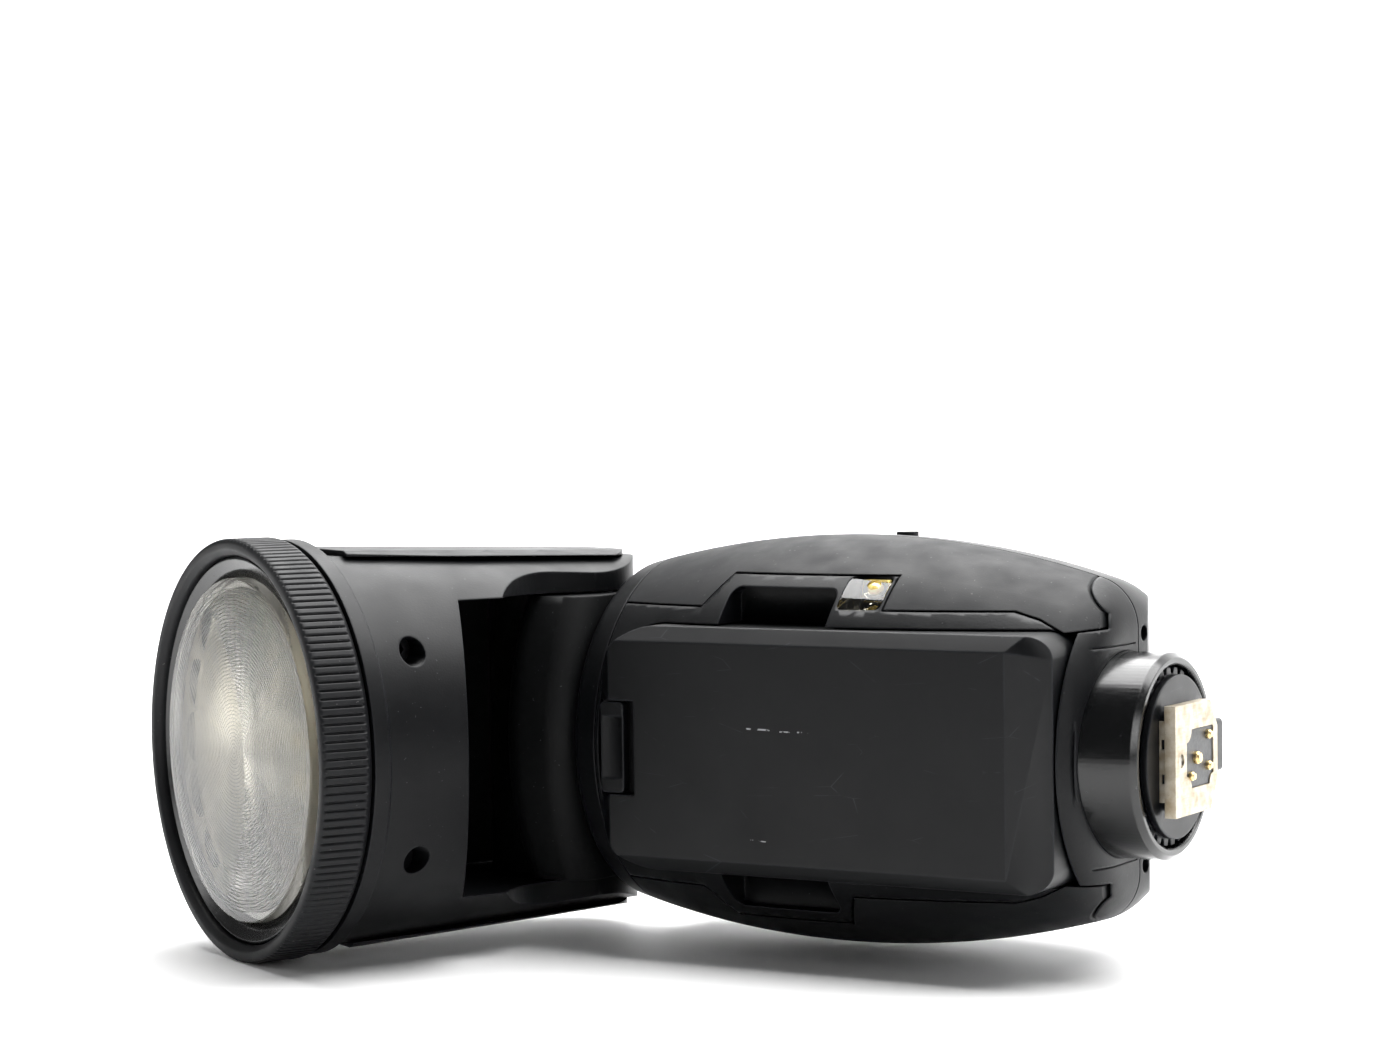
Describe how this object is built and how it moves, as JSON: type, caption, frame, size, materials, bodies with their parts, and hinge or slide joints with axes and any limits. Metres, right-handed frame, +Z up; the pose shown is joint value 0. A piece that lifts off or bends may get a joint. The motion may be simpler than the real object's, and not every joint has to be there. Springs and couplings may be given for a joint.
{
  "type": "on-camera flash",
  "caption": "Round-head on-camera flash with tilting, swivelling head, zoom ring, lift-off battery, control dial and a shoe foot with locking pin.",
  "frame": {"origin": "on the table under the middle of the box of the flash as it lies with its head tilted 28 degrees up from straight forward", "axes": "+X along the body towards the shoe foot, +Y towards the display side, +Z up from the table, across the body"},
  "size_m": [0.192, 0.1134, 0.075],
  "materials": {
    "ring_rubber": "fine-ribbed moulded rubber",
    "grip_rubber": "soft matte rubber skin",
    "dial_rubber": "matte",
    "key_rubber": "soft matte",
    "shell_black": "fine spark texture",
    "battery_black": "satin",
    "gloss_black": "polished",
    "white_plastic": "satin",
    "plated_reflector": "vacuum-plated mirror",
    "led_resin": "clear yellow resin",
    "clear_lens": "clear moulded",
    "clear_window": "clear moulded",
    "tube_glass": "clear tube",
    "display_glass": "dark polished",
    "display_panel": "dark panel",
    "screw_steel": "black oxide",
    "pin_steel": "ground",
    "shoe_nickel": "warm nickel",
    "contact_gold": "gold plated",
    "cell_steel": "shrink sleeve",
    "board_green": "solder mask",
    "capacitor_sleeve": "shrink sleeve",
    "test_red": "translucent"
  },
  "bodies": {
    "main": {"shoulder_ring": "shell_black", "front_shell": "shell_black", "back_shell": "shell_black", "grip_upper": "grip_rubber", "grip_lower": "grip_rubber", "focus_window": "clear_window", "focus_lamp": "led_resin", "bay_contacts": "contact_gold", "display_frame": "gloss_black", "display_glass": "display_glass", "display_panel": "display_panel", "main_board": "board_green", "capacitor": "capacitor_sleeve", "foot_collar": "gloss_black", "foot_base": "battery_black", "shoe_plate": "shoe_nickel", "shoe_spring": "shoe_nickel", "contact_block": "gloss_black", "contact_pin_centre": "contact_gold", "contact_pin_1": "contact_gold", "contact_pin_2": "contact_gold", "contact_pin_3": "contact_gold"},
    "swivel": {"swivel_neck": "shell_black", "swivel_retainer": "pin_steel"},
    "head": {"head_shell": "shell_black", "side_cover_upper": "shell_black", "side_cover_lower": "shell_black", "head_screw_upper": "screw_steel", "head_screw_lower": "screw_steel", "tilt_pin_upper": "pin_steel", "tilt_pin_lower": "pin_steel", "lens_bezel": "gloss_black", "front_lens": "clear_lens", "lens_frame": "white_plastic", "led_board": "white_plastic", "modelling_led_upper": "led_resin", "modelling_led_lower": "led_resin"},
    "zoom_ring": {"zoom_ring": "ring_rubber"},
    "zoom_carriage": {"reflector": "plated_reflector", "flash_tube": "tube_glass"},
    "battery": {"battery_case": "battery_black", "battery_cell_upper": "cell_steel", "battery_cell_lower": "cell_steel", "battery_terminals": "contact_gold"},
    "latch": {"latch_button": "battery_black"},
    "dial": {"settings_dial": "dial_rubber"},
    "centre_button": {"centre_button": "gloss_black"},
    "menu_key_upper": {"menu_key_upper": "key_rubber"},
    "menu_key_lower": {"menu_key_lower": "key_rubber"},
    "test_button": {"test_button": "test_red"},
    "power_button": {"power_button": "key_rubber"},
    "side_button": {"side_button": "key_rubber"},
    "port_cover": {"port_cover": "key_rubber"},
    "lock_wheel": {"lock_wheel": "battery_black"},
    "locking_pin": {"locking_pin": "pin_steel"},
    "release_button": {"release_button": "battery_black"}
  },
  "joints": [
    {"name": "head_swivel", "type": "hinge", "parent": "main", "child": "swivel", "pos_m": [-0.03219, 0.01869, 0.0375], "axis": [1, 0, 0], "range_deg": [-180, 180]},
    {"name": "head_tilt", "type": "hinge", "parent": "swivel", "child": "head", "pos_m": [-0.03219, 0.01869, 0.0375], "axis": [0, 0, -1], "range_deg": [-16, 62]},
    {"name": "zoom_turn", "type": "hinge", "parent": "head", "child": "zoom_ring", "pos_m": [-0.06083, -0.03517, 0.0375], "axis": [-0.4695, -0.8829, 0], "range_deg": [0, 60]},
    {"name": "zoom_travel", "type": "slide", "parent": "head", "child": "zoom_carriage", "axis": [-0.4695, -0.8829, 0], "range_m": [-0.004, 0]},
    {"name": "battery_removal", "type": "slide", "parent": "main", "child": "battery", "axis": [0, -1, 0], "range_m": [0, 0.05]},
    {"name": "latch_slide", "type": "slide", "parent": "battery", "child": "latch", "axis": [1, 0, 0], "range_m": [0, 0.002], "stiffness_N_per_m": 400, "springref_m": -0.002},
    {"name": "dial_turn", "type": "hinge", "parent": "main", "child": "dial", "pos_m": [0.05181, 0.05469, 0.0375], "axis": [0, 1, 0], "continuous": true},
    {"name": "centre_button_press", "type": "slide", "parent": "main", "child": "centre_button", "axis": [0, -1, 0], "range_m": [0, 0.0005], "stiffness_N_per_m": 400, "springref_m": -0.001},
    {"name": "menu_key_upper_press", "type": "slide", "parent": "main", "child": "menu_key_upper", "axis": [0, -1, 0], "range_m": [0, 0.0005], "stiffness_N_per_m": 400, "springref_m": -0.001},
    {"name": "menu_key_lower_press", "type": "slide", "parent": "main", "child": "menu_key_lower", "axis": [0, -1, 0], "range_m": [0, 0.0005], "stiffness_N_per_m": 400, "springref_m": -0.001},
    {"name": "test_button_press", "type": "slide", "parent": "main", "child": "test_button", "axis": [0, -1, 0], "range_m": [0, 0.0005], "stiffness_N_per_m": 400, "springref_m": -0.001},
    {"name": "power_button_press", "type": "slide", "parent": "main", "child": "power_button", "axis": [0, -1, 0], "range_m": [0, 0.0005], "stiffness_N_per_m": 400, "springref_m": -0.001},
    {"name": "side_button_press", "type": "slide", "parent": "main", "child": "side_button", "axis": [0, 0, -1], "range_m": [0, 0.0006], "stiffness_N_per_m": 400, "springref_m": -0.001},
    {"name": "port_cover_open", "type": "hinge", "parent": "main", "child": "port_cover", "pos_m": [0.06581, 0.03219, 0.0059], "axis": [-0.9733, 0, -0.2295], "range_deg": [0, 80]},
    {"name": "lock_turn", "type": "hinge", "parent": "main", "child": "lock_wheel", "pos_m": [0.08881, 0.01869, 0.0375], "axis": [1, 0, 0], "range_deg": [0, 50]},
    {"name": "locking_pin_travel", "type": "slide", "parent": "main", "child": "locking_pin", "axis": [1, 0, 0], "range_m": [0, 0.0012]},
    {"name": "release_button_press", "type": "slide", "parent": "main", "child": "release_button", "axis": [0, -1, 0], "range_m": [0, 0.001], "stiffness_N_per_m": 400, "springref_m": -0.001}
  ],
  "couplings": [
    {"joint": "zoom_travel", "follows": "zoom_turn", "m_per_rad": -0.0038},
    {"joint": "locking_pin_travel", "follows": "lock_turn", "m_per_rad": 0.001375}
  ]
}
